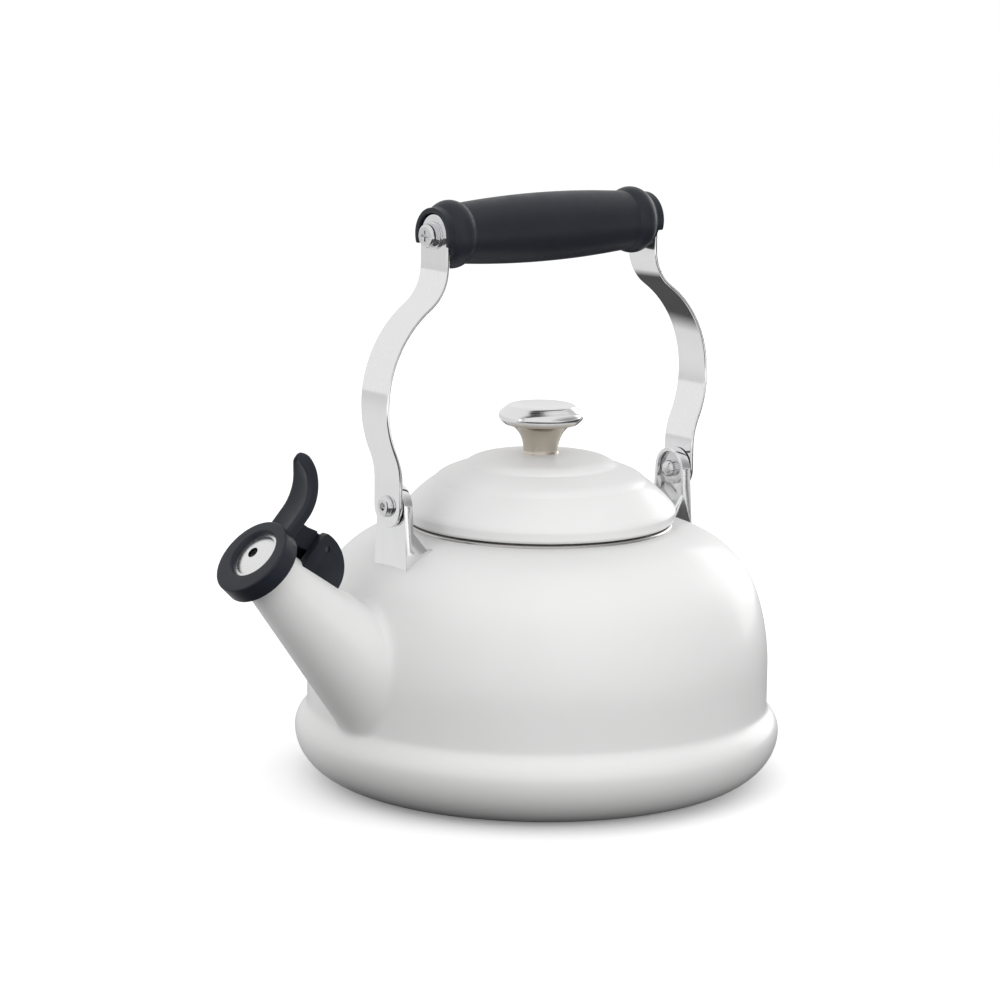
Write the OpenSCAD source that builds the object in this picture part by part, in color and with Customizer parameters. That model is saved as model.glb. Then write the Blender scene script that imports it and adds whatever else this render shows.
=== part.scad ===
// Stovetop whistling kettle with a swinging bail handle, a lift-off lid and a
// thumb-operated whistle on the spout.
// Frame: +Z up, the base's underside at z = 0, the body's axis on Z, the spout towards -X.

/* [Body] */
// Widest radius of the body, on the crest of the rim above the base
rim_r = 100; // [99:0.5:101]
// Height of the rim's crest above the base
rim_crest_z = 21; // [20.5:0.5:21.5]
// Radius of the flat base
base_flat_r = 74; // [72:0.5:76]
// Radius of the rim's rounded crest
crest_round_r = 10.5; // [10:0.1:11]
// Radius of the upright side wall
wall_r = 95; // [94.6:0.1:95.4]
// Radius of the hollow bend between the rim and the side wall
crease_round_r = 4; // [3:0.5:5]
// Height at which the side wall starts to lean in
wall_top_z = 48; // [47:0.5:49]
// Radius of the shoulder's lowest bend, above the side wall
shoulder_low_r = 94; // [93:0.5:95]
// Radius of the shoulder's tight middle bend
shoulder_mid_r = 39; // [38.5:0.5:39.5]
// Radius of the shoulder's flat top bend, round the opening
shoulder_top_r = 120; // [118:1:122]
// Lean of the shoulder where the lowest bend ends, in degrees
shoulder_low_a = 18.6; // [18.4:0.1:18.8]
// Lean of the shoulder where the middle bend ends, in degrees
shoulder_mid_a = 71.7; // [71.5:0.1:71.9]
// Sheet thickness of the enamelled steel
shell_t = 1.2; // [1:0.1:1.4]
// Radius of the opening under the lid
opening_r = 50.5; // [50:0.1:51]

/* [Spout and whistle] */
// Place of the whistle cap's front face centre, along X and Z
cap_x = -144.7; // [-146:0.1:-143]
cap_z = 108.7; // [107.5:0.1:110]
// Rise of the spout above the horizontal, in degrees
spout_rise = 43.5; // [43:0.1:44]
// Outer radius of the spout at its lip
spout_tip_r = 10.5; // [10.3:0.1:10.7]
// Growth of the spout's radius for each millimetre down its length
spout_taper = 0.155; // [0.15:0.005:0.16]
// Radius of the whistle cap
cap_r = 16.8; // [16.6:0.1:17]
// Thickness of the whistle cap
cap_t = 8; // [7.8:0.1:8.2]
// Radius of the whistle's steel discs
disc_r = 10.2; // [10:0.1:10.4]
// Shift of the discs from the cap's axis towards the hinge
disc_x = 1.6; // [1.4:0.1:1.8]
// Width of the thumb lever
lever_w = 14; // [13:0.5:15]
// Width of the hinge bracket that straddles the spout
hinge_w = 16; // [15:0.5:17]
// Radius of the whistle's hinge pin
hinge_pin_r = 1.25; // [1.2:0.05:1.3]

/* [Handle] */
// Height of the handle's pivots
pivot_z = 121.1; // [120.5:0.1:121.5]
// Shift of the whole handle towards the spout
handle_shift = 1.2; // [1:0.1:1.4]
// Width of the strap steel
strap_w = 17.2; // [17:0.1:17.4]
// Thickness of the strap steel
strap_t = 1.5; // [1.4:0.1:1.6]
// Distance of the straps' outer faces from the handle's middle, at the pivots
strap_foot_x = 77.5; // [77.4:0.1:77.8]
// Distance of the straps' outer faces from the handle's middle, at the grip
strap_head_x = 55.2; // [55:0.1:55.4]
// Furthest the straps bow out
strap_bow_x = 84.4; // [84.2:0.1:84.6]
// Height at which the straps bow out furthest
strap_bow_z = 162; // [161:0.5:163]
// Outer radius of the straps' bow
strap_bow_r = 46; // [45.7:0.1:46.3]
// Height at which the straps leave the upright above the pivots
strap_bend_z = 131; // [130:0.5:132]
// Slope of the straps where the bow hands over to the upper bend, in degrees
strap_lean = 57; // [56:0.5:58]
// Height of the grip's axis
grip_z = 227.9; // [227:0.1:229]
// Radius of the grip at its middle
grip_mid_r = 14; // [13.8:0.1:14.2]
// Radius of the grip where the barrel meets its end rings
grip_neck_r = 12.1; // [12:0.1:12.3]
// Radius of the grip's end rings
grip_ring_r = 13.7; // [13.5:0.1:13.9]
// Distance of the end rings from the middle of the grip
grip_ring_x = 47.2; // [47:0.1:47.4]
// Profile radius of the end rings
grip_ring_round = 6.6; // [6.4:0.1:6.8]

/* [Lid] */
// Largest radius of the lid
lid_r = 55.9; // [55.6:0.1:56.2]
// Height of the lid's lower edge
lid_edge_z = 107.5; // [107.4:0.1:107.7]
// Radius of the hollow crease round the lid's top tier
step_1_r = 31.3; // [31.1:0.1:31.5]
// Height of the hollow crease round the lid's top tier
step_1_z = 130.3; // [130.1:0.1:130.5]
// Radius of the hollow crease round the lid's second tier
step_2_r = 43.8; // [43.6:0.1:44]
// Height of the hollow crease round the lid's second tier
step_2_z = 123.9; // [123.7:0.1:124.1]
// Height of the lid's top, where the knob stands
lid_top_z = 135; // [134.6:0.1:135.4]
// Largest radius of the knob
knob_r = 17.4; // [17.2:0.1:17.6]
// Height of the knob's top rim
knob_top_z = 154.9; // [154.7:0.1:155.1]

/* [Hidden] */
$fn = 96;

enamel = [0.93, 0.93, 0.92];
steel = [0.78, 0.78, 0.79];
plastic = [0.13, 0.14, 0.16];
brass = [0.80, 0.64, 0.30];

// A point at radius r and angle a from c
function polar(c, r, a) = c + r * [cos(a), sin(a)];
// Points along an arc round c, from angle a0 to a1, in n steps
function arc(c, r, a0, a1, n) = [for (i = [0:n]) polar(c, r, a0 + (a1 - a0) * i / n)];
// Points along an ellipse's arc with half-sizes h
function oval(c, h, a0, a1, n) =
    [for (i = [0:n]) let (a = a0 + (a1 - a0) * i / n) [c[0] + h[0] * cos(a), c[1] + h[1] * sin(a)]];
function reverse(p) = [for (i = [len(p) - 1:-1:0]) p[i]];

// Lays a drawing made in x and z across the width w
module across(w) {
    rotate([90, 0, 0]) translate([0, 0, -w / 2]) linear_extrude(w) children();
}

// Turns a drawing in Y and Z into a slab that reaches from x0 to x1
module slab(x0, x1) {
    translate([x0, 0, 0]) rotate([90, 0, 90]) linear_extrude(x1 - x0) children();
}

// ---- Body profile -------------------------------------------------------------------------
rim_centre = [base_flat_r, rim_crest_z];
crest_centre = [rim_r - crest_round_r, rim_crest_z];
crease_reach = crest_round_r + crease_round_r;
crease_a = acos((wall_r + crease_round_r - crest_centre[0]) / crease_reach);
crease_centre = polar(crest_centre, crease_reach, crease_a);
shoulder_r = [shoulder_low_r, shoulder_mid_r, shoulder_top_r];
shoulder_a = [shoulder_low_a, shoulder_mid_a];
shoulder_c1 = [wall_r - shoulder_r[0], wall_top_z];
shoulder_c2 = polar(shoulder_c1, shoulder_r[0] - shoulder_r[1], shoulder_a[0]);
shoulder_c3 = polar(shoulder_c2, shoulder_r[1] - shoulder_r[2], shoulder_a[1]);
rim_steps = 12;

// Height of the shoulder's outer surface at radius r, near the opening
function shoulder_z(r) = shoulder_c3[1] + sqrt(pow(shoulder_r[2], 2) - pow(r - shoulder_c3[0], 2));

// The body's side from the base's edge to radius end_r at the top, moved inwards by inset
function body_side(inset, end_r) = concat(
    oval(rim_centre, [rim_r - base_flat_r - inset, rim_crest_z - inset], -90, 0, rim_steps),
    arc(crest_centre, crest_round_r - inset, 8, crease_a, 6),
    arc(crease_centre, crease_round_r + inset, 180 + crease_a, 180, 5),
    arc(shoulder_c1, shoulder_r[0] - inset, 0, shoulder_a[0], 8),
    arc(shoulder_c2, shoulder_r[1] - inset, shoulder_a[0] + 4, shoulder_a[1], 14),
    arc(shoulder_c3, shoulder_r[2] - inset, shoulder_a[1] + 2,
        acos((end_r - shoulder_c3[0]) / (shoulder_r[2] - inset)), 5)
);

module body_solid() {
    rotate_extrude() polygon(concat([[0, 0]], body_side(0, opening_r), [[0, shoulder_z(opening_r)]]));
}

module body_shell() {
    color(enamel) difference() {
        rotate_extrude() polygon(concat(body_side(0, opening_r), reverse(body_side(shell_t, opening_r))));
        spout_bore();
    }
}

bead_rise = 1;
bead_r = [58, 60, 66, 68];
pan_lap_steps = 4;
pan_lap_t = 1;

// The pressed base: a flat disc with a raised ring bead, and a lip that laps inside the shell
module base_pan() {
    under = [
        [0, 0], [bead_r[0], 0], [bead_r[1], bead_rise], [bead_r[2], bead_rise], [bead_r[3], 0],
        [base_flat_r, 0]
    ];
    lip_end_a = -90 + 90 * pan_lap_steps / rim_steps;
    lap_out = shell_t;
    lap_in = shell_t + pan_lap_t;
    lip_half = [rim_r - base_flat_r, rim_crest_z];
    lip_outer = oval(rim_centre, lip_half - [lap_out, lap_out], -90, lip_end_a, pan_lap_steps);
    lip_inner = oval(rim_centre, lip_half - [lap_in, lap_in], lip_end_a, -90, pan_lap_steps);
    over = [
        [bead_r[3] + 0.5, lap_in], [bead_r[2] + 0.5, lap_in + bead_rise - 0.2],
        [bead_r[1] - 0.5, lap_in + bead_rise - 0.2], [bead_r[0] - 0.5, lap_in], [0, lap_in]
    ];
    color(enamel) rotate_extrude() polygon(concat(under, lip_outer, lip_inner, over));
}

ring_top_z = 106.8;
ring_outer_r = 54.6;
ring_collar_r = 49.4;
ring_collar_t = 0.8;
ring_collar_z = 95;
ring_round = 1;

// The stainless ring that lines the opening and lies on the shoulder round it
module trim_ring() {
    seat = [for (i = [0:6]) let (r = opening_r + (ring_outer_r - opening_r) * i / 6) [r, shoulder_z(r)]];
    crown = [ring_outer_r - ring_round, ring_top_z - ring_round];
    color(steel) rotate_extrude() polygon(concat(
        [[ring_collar_r, ring_collar_z], [ring_collar_r, shoulder_z(opening_r) - 0.2]],
        seat,
        arc(crown, ring_round, 0, 90, 5),
        [[ring_collar_r, ring_top_z]],
        [[ring_collar_r - ring_collar_t, ring_top_z - 0.6], [ring_collar_r - ring_collar_t, ring_collar_z]]
    ));
}

// ---- Spout --------------------------------------------------------------------------------
spout_lip_s = 5.2;
spout_root_s = 104;
spout_t = 1.2;

// Local frame of the whistle: z out of the cap's front face, x towards the hinge, y sideways
module at_cap() {
    translate([cap_x, 0, cap_z]) rotate([0, spout_rise - 90, 0]) children();
}

// Outer radius of the spout at distance s behind the cap's front face
function spout_r(s) = spout_tip_r + spout_taper * (s - spout_lip_s);

module spout_solid() {
    rotate_extrude() polygon([
        [0, -spout_lip_s], [spout_r(spout_lip_s), -spout_lip_s],
        [spout_r(spout_root_s), -spout_root_s], [0, -spout_root_s]
    ]);
}

module spout_bore() {
    bore_top = spout_lip_s - 1;
    bore_end = spout_root_s + 1;
    at_cap() rotate_extrude() polygon([
        [0, -bore_top], [spout_r(bore_top) - spout_t, -bore_top],
        [spout_r(bore_end) - spout_t, -bore_end], [0, -bore_end]
    ]);
}

module spout_tube() {
    color(enamel) difference() {
        at_cap() spout_solid();
        spout_bore();
        body_solid();
    }
}

// ---- Whistle ------------------------------------------------------------------------------
cap_edge = 1.2;
cap_face_r = 11.2;
disc_depth = 2.2;
disc_t = 0.5;
disc_rise = 2.5;
disc_rim = 1;
disc_hole_r = 2.3;
chamber_r = 9.5;
chamber_end = 4.6;
socket_r = 12.3;
hinge_x = 21.5;
hinge_s = 22.4;
pin_clear = 0.05;
lever_t = 5;
lever_face_s = 2.8;
lever_bend_x = 25;
lever_bend_r = 16;
lever_turn = 77;
barrel_r = 4.2;
arm_w = 8;
spring_gap_w = 4.4;

module whistle_cap() {
    back = cap_t - cap_edge;
    color(plastic) at_cap() difference() {
        rotate_extrude() polygon(concat(
            [[0, 0]],
            arc([cap_r - cap_edge, -cap_edge], cap_edge, 90, 0, 5),
            arc([cap_r - cap_edge, -back], cap_edge, 0, -90, 5),
            [[socket_r, -cap_t], [socket_r, -chamber_end], [0, -chamber_end]]
        ));
        translate([disc_x, 0, 0]) rotate_extrude() polygon([
            [0, 1], [cap_face_r + 1, 1], [cap_face_r, 0], [disc_r, -cap_edge],
            [disc_r, -disc_depth - disc_t], [chamber_r, -disc_depth - disc_t],
            [chamber_r, -chamber_end - 1], [0, -chamber_end - 1]
        ]);
    }
}

// Domed front disc, with a flat rim pressed into the cap and a hole at the top of the dome
module whistle_outer_disc() {
    dome_r = disc_r - disc_rim;
    rise = [for (i = [0:8]) let (r = disc_hole_r + (dome_r - disc_hole_r) * i / 8)
        [r, disc_rise * (1 - pow(r / dome_r, 2)) - disc_depth]];
    color(steel) at_cap() translate([disc_x, 0, 0]) rotate_extrude() polygon(concat(
        rise,
        [[disc_r, -disc_depth], [disc_r, -disc_depth - disc_t]],
        reverse([for (q = rise) q - [0, disc_t]])
    ));
}

// Flat inner disc at the foot of the whistle's chamber
module whistle_inner_disc() {
    color(steel) at_cap() translate([disc_x, 0, -chamber_end]) difference() {
        cylinder(h = disc_t, r = chamber_r);
        translate([0, 0, -disc_t]) cylinder(h = 3 * disc_t, r = disc_hole_r);
    }
}

// Thumb blade: straight behind the cap's rim, then curved forwards to a rounded tip
module lever_blade() {
    bend = [lever_bend_x, lever_bend_r - lever_face_s];
    turn = -90 + lever_turn;
    plan_centre = [25.5, 0];
    plan_reach = [19.4, lever_w / 2];
    tip_z = 4;
    tip_reach = [lever_w / 2, 5.9];
    intersection() {
        across(lever_w) polygon(concat(
            [[14, -lever_face_s]],
            arc(bend, lever_bend_r, -90, turn, 12),
            arc(bend, lever_bend_r + lever_t, turn, -90, 12),
            [[14, -lever_face_s - lever_t]]
        ));
        translate([0, 0, -15]) linear_extrude(40) polygon(concat(
            [[10, -lever_w / 2]], oval(plan_centre, plan_reach, -90, 90, 20), [[10, lever_w / 2]]
        ));
        slab(10, 50) polygon(concat(
            [[-lever_w / 2, -15], [lever_w / 2, -15]], oval([0, tip_z], tip_reach, 0, 180, 14)
        ));
    }
}

// Arm that carries the blade and the cap back to the hinge
module lever_arm() {
    front_s = lever_face_s + 2;
    difference() {
        union() {
            across(arm_w) polygon([
                [15.2, -front_s], [22.6, -front_s], [22.6, -7.8], [24.4, -13.5],
                [hinge_x + barrel_r, -hinge_s], [hinge_x - barrel_r, -hinge_s], [15.2, -13]
            ]);
            translate([hinge_x, arm_w / 2, -hinge_s]) rotate([90, 0, 0]) cylinder(h = arm_w, r = barrel_r);
        }
        translate([hinge_x, arm_w, -hinge_s]) rotate([90, 0, 0])
            cylinder(h = 2 * arm_w, r = hinge_pin_r + pin_clear);
        translate([hinge_x, spring_gap_w / 2, -hinge_s]) rotate([90, 0, 0])
            cylinder(h = spring_gap_w, r = barrel_r + 0.6);
    }
}

module thumb_lever() {
    color(plastic) at_cap() difference() {
        union() {
            lever_blade();
            lever_arm();
        }
        translate([0, 0, -cap_t]) cylinder(h = cap_t + 1, r = cap_r);
    }
}

coil_r = 2.7;
coil_wire_r = 0.4;
coil_pitch = 0.74;
coil_half = 2;
coil_leg = 3.8;

// Torsion spring round the pin, between the lever's two ears
module lever_spring() {
    outer = [for (i = [-coil_half:coil_half]) each arc([coil_r, i * coil_pitch], coil_wire_r, -60, 60, 4)];
    inner = [for (i = [coil_half:-1:-coil_half])
        each arc([coil_r, i * coil_pitch], coil_wire_r, 120, 240, 4)];
    color(steel) at_cap() translate([hinge_x, 0, -hinge_s]) {
        rotate([90, 0, 0]) rotate([0, 0, 45]) rotate_extrude() polygon(concat(outer, inner));
        translate([coil_r - 0.1, coil_half * coil_pitch, 0]) cylinder(h = coil_leg, r = coil_wire_r - 0.05);
        translate([0.1 - coil_r, -coil_half * coil_pitch, -coil_leg])
            cylinder(h = coil_leg, r = coil_wire_r - 0.05);
    }
}

module hinge_pin() {
    pin_len = hinge_w - 1.2;
    color(steel) at_cap() translate([hinge_x, pin_len / 2, -hinge_s]) rotate([90, 0, 0])
        cylinder(h = pin_len, r = hinge_pin_r);
}

fin_front_s = 17.2;
fin_half = [13.7, 15.8];
fin_centre = [12.8, -21.6];
fin_slot_w = 8.8;
fin_slot_end = 27.8;
lug_t = 2;
lug_s = [30, 34];
lug_top_x = 18;

// Fin-shaped bracket that straddles the spout, with a slot for the lever's arm
module hinge_bracket() {
    color(plastic) at_cap() difference() {
        across(hinge_w) polygon(concat(
            [[6, fin_centre[1] - fin_half[1]], [6, -fin_front_s], [fin_centre[0] + 11.4, -fin_front_s]],
            oval(fin_centre, fin_half, 12, -90, 16)
        ));
        translate([0, -fin_slot_w / 2, -fin_slot_end]) cube([40, fin_slot_w, fin_slot_end]);
        translate([hinge_x, hinge_w, -hinge_s]) rotate([90, 0, 0])
            cylinder(h = 2 * hinge_w, r = hinge_pin_r);
        lug_block();
        spout_solid();
    }
}

module lug_block() {
    translate([0, -lug_t / 2, -lug_s[1]]) cube([lug_top_x, lug_t, lug_s[1] - lug_s[0]]);
}

// Steel tab welded to the spout, inside the bracket
module spout_lug() {
    color(steel) at_cap() difference() {
        lug_block();
        spout_solid();
    }
}

// ---- Handle brackets ----------------------------------------------------------------------
bracket_x = 75.5;
bracket_t = 1.5;
bracket_top_r = 8.8;
bracket_foot_z = 98;
bracket_foot_half = 10.6;
flange_x = 71.3;
gusset_x = 64.9;
gusset_z = [103.4, 111];
pivot_shank_r = 2.5;

// Moves the handle and its brackets to their place along X
module at_handle() {
    translate([-handle_shift, 0, 0]) children();
}

// Outline of the bracket's plate drawn in by inset: round on top, wider at the foot
module plate_outline(inset) {
    top = bracket_top_r - inset;
    foot = bracket_foot_half - inset;
    translate([0, pivot_z]) circle(r = top);
    polygon([
        [-top, pivot_z], [-foot, bracket_foot_z], [-foot, bracket_foot_z - 30],
        [foot, bracket_foot_z - 30], [foot, bracket_foot_z], [top, pivot_z]
    ]);
}

// Pressed tray bracket: a plate whose edges turn in towards the body, with gussets at the foot
module bracket() {
    above = pivot_z + 2 * bracket_top_r;
    difference() {
        slab(gusset_x - 3, bracket_x) plate_outline(0);
        slab(gusset_x - 4, bracket_x - bracket_t) plate_outline(bracket_t);
        across(2 * strap_w) polygon([
            [gusset_x - 5, gusset_z[0]], [gusset_x, gusset_z[0]], [flange_x, gusset_z[1]],
            [flange_x, above], [gusset_x - 5, above]
        ]);
        slab(60, 90) translate([0, pivot_z]) circle(r = pivot_shank_r);
    }
}

module rear_bracket() {
    color(steel) difference() {
        at_handle() bracket();
        body_solid();
    }
}

module front_bracket() {
    color(steel) difference() {
        at_handle() mirror([1, 0, 0]) bracket();
        body_solid();
    }
}

// ---- Pivots -------------------------------------------------------------------------------
pivot_head_r = 4.4;
pivot_head_t = 2.2;
friction_t = strap_foot_x - strap_t - bracket_x;
friction_r = 7;
washer_t = 1;
washer_r = 6.7;
nut_r = 3.5;
nut_base_t = 1.6;
nut_rise = 2.6;
pivot_gap = 0.15;

// Places a copy at each of the two pivots, x pointing outwards
module at_pivots() {
    at_handle() for (side = [0, 1]) mirror([side, 0, 0]) translate([0, 0, pivot_z])
        rotate([0, 90, 0]) children();
}

module pivot_screws() {
    head_x = strap_foot_x + pivot_gap;
    tip_x = bracket_x - bracket_t - washer_t - nut_base_t;
    hex_r = 3 / sqrt(3);
    color(steel) at_pivots() difference() {
        union() {
            translate([0, 0, tip_x]) cylinder(h = head_x - tip_x, r = pivot_shank_r);
            translate([0, 0, head_x]) rotate_extrude() polygon(concat(
                [[0, 0], [pivot_head_r, 0]],
                oval([pivot_head_r - 2, 0.4], [2, pivot_head_t - 0.4], 0, 90, 8),
                [[0, pivot_head_t]]
            ));
        }
        translate([0, 0, head_x + pivot_head_t - 1.6]) cylinder(h = 2, r = hex_r, $fn = 6);
    }
}

// Dome nuts inside the brackets
module pivot_nuts() {
    base_x = bracket_x - bracket_t - washer_t - nut_base_t;
    color(steel) at_pivots() translate([0, 0, base_x]) difference() {
        rotate_extrude() polygon(concat(
            [[0, nut_base_t], [nut_r, nut_base_t]], oval([0, 0], [nut_r, nut_rise], 0, -90, 10)
        ));
        cylinder(h = nut_base_t + 1, r = pivot_shank_r);
    }
}

module washer(r, bore, t) {
    difference() {
        cylinder(h = t, r = r);
        translate([0, 0, -t]) cylinder(h = 3 * t, r = bore);
    }
}

module pivot_washers() {
    color(steel) at_pivots() translate([0, 0, bracket_x - bracket_t - washer_t])
        washer(washer_r, pivot_shank_r, washer_t);
}

module friction_washers() {
    color(steel) at_pivots() translate([0, 0, bracket_x])
        washer(friction_r, pivot_shank_r, friction_t - pivot_gap);
}

// ---- Bail handle --------------------------------------------------------------------------
half_w = strap_w / 2;
strap_hole_r = pivot_shank_r + 0.05;
grip_shank_r = 2.5;
bow_centre = [strap_bow_x - strap_bow_r, strap_bow_z];
foot_rise = strap_bow_z - strap_bend_z;
foot_dx = strap_foot_x - bow_centre[0];
foot_r = (pow(foot_rise, 2) - pow(strap_bow_r, 2) + pow(foot_dx, 2)) / (2 * (strap_bow_r - foot_dx));
foot_a = asin(foot_rise / (strap_bow_r + foot_r));
lean_point = polar(bow_centre, strap_bow_r, strap_lean);
head_r = (lean_point[0] - strap_head_x) / (1 - cos(strap_lean));
head_bend_z = lean_point[1] + head_r * sin(strap_lean);

// The strap's side view at distance inset inside its outer face
function strap_side(inset) = concat(
    [[strap_foot_x - inset, pivot_z - strap_w]],
    arc([strap_foot_x + foot_r, strap_bend_z], foot_r + inset, 180, 180 - foot_a, 8),
    arc(bow_centre, strap_bow_r - inset, 4 - foot_a, strap_lean, 20),
    arc([strap_head_x + head_r, head_bend_z], head_r + inset, 180 + strap_lean - 6, 180, 9),
    [[strap_head_x - inset, grip_z + half_w + 1]]
);

module strap_outline() {
    translate([0, pivot_z]) circle(r = half_w);
    translate([0, grip_z]) circle(r = half_w);
    translate([-half_w, pivot_z]) square([strap_w, grip_z - pivot_z]);
}

module strap() {
    difference() {
        intersection() {
            across(2 * strap_w) polygon(concat(strap_side(0), reverse(strap_side(strap_t))));
            slab(40, 95) strap_outline();
        }
        slab(60, 90) translate([0, pivot_z]) circle(r = strap_hole_r);
        slab(40, 70) translate([0, grip_z]) circle(r = grip_shank_r + 0.1);
    }
}

module rear_strap() {
    color(steel) at_handle() strap();
}

module front_strap() {
    color(steel) at_handle() mirror([1, 0, 0]) strap();
}

grip_end_x = strap_head_x - strap_t;
hood_x = 56.3;
hood_r = 11.1;
hood_inner_r = half_w + 0.4;
hood_drop = 3.9;
insert_r = 4;
insert_len = 14;
ring_arc_r = grip_ring_r - grip_ring_round;
ring_in_a = acos((grip_neck_r - ring_arc_r) / grip_ring_round);
ring_out_a = acos((hood_r - ring_arc_r) / grip_ring_round);
grip_neck_x = grip_ring_x - grip_ring_round * sin(ring_in_a);

// Half of the grip's profile, as [distance from the middle, radius]
function grip_half() = concat(
    [for (i = [0:8]) let (u = i / 8) [grip_neck_x * u, grip_mid_r - (grip_mid_r - grip_neck_r) * u * u]],
    [for (q = arc([grip_ring_x, ring_arc_r], grip_ring_round, 85 + ring_in_a, 90 - ring_out_a, 10)) q],
    [[grip_end_x, hood_r]]
);

// Places a copy at each end of the grip, x pointing outwards
module at_grip_ends() {
    for (side = [0, 1]) mirror([side, 0, 0]) translate([0, 0, grip_z]) rotate([0, 90, 0])
        children();
}

// Hood round the strap's rounded upper end, open below where the strap leaves it
module hood() {
    difference() {
        slab(grip_end_x - 1, hood_x) translate([0, grip_z]) circle(r = hood_r);
        slab(grip_end_x, hood_x + 1) {
            translate([0, grip_z]) circle(r = hood_inner_r);
            translate([-hood_inner_r, grip_z - 20]) square([2 * hood_inner_r, 20]);
        }
        slab(grip_end_x, hood_x + 1) translate([-20, grip_z - hood_drop - 20]) square([40, 20]);
    }
}

module grip() {
    half = grip_half();
    profile = concat(
        [[0, -grip_end_x], [hood_r, -grip_end_x]],
        [for (i = [len(half) - 2:-1:1]) [half[i][1], -half[i][0]]],
        [for (i = [0:len(half) - 2]) [half[i][1], half[i][0]]],
        [[hood_r, grip_end_x], [0, grip_end_x]]
    );
    color(plastic) at_handle() difference() {
        union() {
            translate([0, 0, grip_z]) rotate([0, 90, 0]) rotate_extrude() polygon(profile);
            hood();
            mirror([1, 0, 0]) hood();
        }
        at_grip_ends() translate([0, 0, grip_end_x - insert_len]) cylinder(h = insert_len + 1, r = insert_r);
    }
}

module grip_inserts() {
    color(brass) at_handle() at_grip_ends() translate([0, 0, grip_end_x - insert_len]) difference() {
        cylinder(h = insert_len, r = insert_r);
        translate([0, 0, 2]) cylinder(h = insert_len, r = grip_shank_r);
    }
}

grip_washer_r = 5.6;
grip_washer_t = 1.2;
grip_head_r = 4.8;
grip_head_t = 3.4;
cross_w = 1;
cross_l = 4.4;

module grip_washers() {
    color(steel) at_handle() at_grip_ends() translate([0, 0, strap_head_x])
        washer(grip_washer_r, grip_shank_r, grip_washer_t);
}

module grip_screws() {
    head_x = strap_head_x + grip_washer_t;
    tip_x = grip_end_x - insert_len + 3;
    color(steel) at_handle() at_grip_ends() difference() {
        union() {
            translate([0, 0, tip_x]) cylinder(h = head_x - tip_x, r = grip_shank_r);
            translate([0, 0, head_x]) rotate_extrude() polygon(concat(
                [[0, 0], [grip_head_r, 0]],
                oval([grip_head_r - 1.2, grip_head_t - 1.2], [1.2, 1.2], 0, 90, 6),
                [[0, grip_head_t]]
            ));
        }
        for (turn = [0, 90]) rotate([0, 0, turn])
            translate([-cross_l / 2, -cross_w / 2, head_x + grip_head_t - 1.4]) cube([cross_l, cross_w, 2]);
    }
}

// ---- Lid ----------------------------------------------------------------------------------
lid_t = 1.1;
lid_bore_r = 2.6;
lid_belly_z = 111.8;
lid_edge_r = 54.3;
hem_r = 51.5;
hem_t = 0.9;
seat_r = 8;
dome_r = 230;
dome_edge = [25, 133.3];
dome_edge_round = 11.5;
step_1 = [step_1_r, step_1_z];
step_2 = [step_2_r, step_2_z];
tier_edge = step_1 + [8.3, -3.2];
tier_r = 120;
tier_edge_round = 12;
side_round = 50;
belly_round = 5;
side_foot = [lid_r - 1.6, 114.6];

// Points from p to q on an arc of radius r that bulges outwards, moved inwards by inset
function bulge(p, q, r, inset, n) = let (
    mid = (p + q) / 2,
    half = norm(q - p) / 2,
    down = (q - p) / norm(q - p),
    centre = mid - [-down[1], down[0]] * sqrt(r * r - half * half),
    a0 = atan2(p[1] - centre[1], p[0] - centre[0]),
    a1 = atan2(q[1] - centre[1], q[0] - centre[0])
) arc(centre, r - inset, a0, a1, n);

// The lid's two tiers and side, from the knob's seat to the belly, moved inwards by inset
function lid_side(inset) = concat(
    bulge([seat_r, lid_top_z], dome_edge, dome_r, inset, 4),
    bulge(dome_edge + [0.3, -0.05], step_1, dome_edge_round, inset, 6),
    bulge(step_1 + [0.2, -0.08], tier_edge, tier_r, inset, 4),
    bulge(tier_edge + [0.2, -0.1], step_2, tier_edge_round, inset, 5),
    bulge(step_2 + [0.2, -0.15], side_foot, side_round, inset, 7),
    bulge(side_foot + [0.1, -0.3], [lid_r, lid_belly_z], belly_round, inset, 3)
);

module lid_shell() {
    hem_z = lid_edge_z + hem_t;
    color(enamel) rotate_extrude() polygon(concat(
        [[lid_bore_r, lid_top_z]],
        lid_side(0),
        [[lid_r - 0.5, lid_edge_z + 1], [lid_edge_r, lid_edge_z], [hem_r, lid_edge_z], [hem_r, hem_z]],
        [[lid_edge_r - 0.8, hem_z], [lid_edge_r - 0.1, hem_z + 0.2]],
        reverse(lid_side(lid_t)),
        [[lid_bore_r, lid_top_z - lid_t]]
    ));
}

skirt_r = 48.1;
skirt_t = 0.7;
skirt_foot_z = 97;

// Stainless flange welded on the lid's hem, with a skirt that drops into the opening
module lid_skirt() {
    flange_z = lid_edge_z + hem_t;
    flange_r = lid_edge_r - 0.9;
    color(steel) rotate_extrude() polygon([
        [skirt_r - skirt_t, skirt_foot_z], [skirt_r, skirt_foot_z], [skirt_r, flange_z],
        [flange_r, flange_z], [flange_r, flange_z + skirt_t], [skirt_r - skirt_t, flange_z + skirt_t]
    ]);
}

knob_bore_r = 2.5;
knob_bore_z = 147;
dish_depth = 1.3;
knob_dish_r = 12.9;
neck_r = 7.1;
flare_out = 7.8;
flare_z = 135.8;
flare_rise = 11.2;

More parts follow.
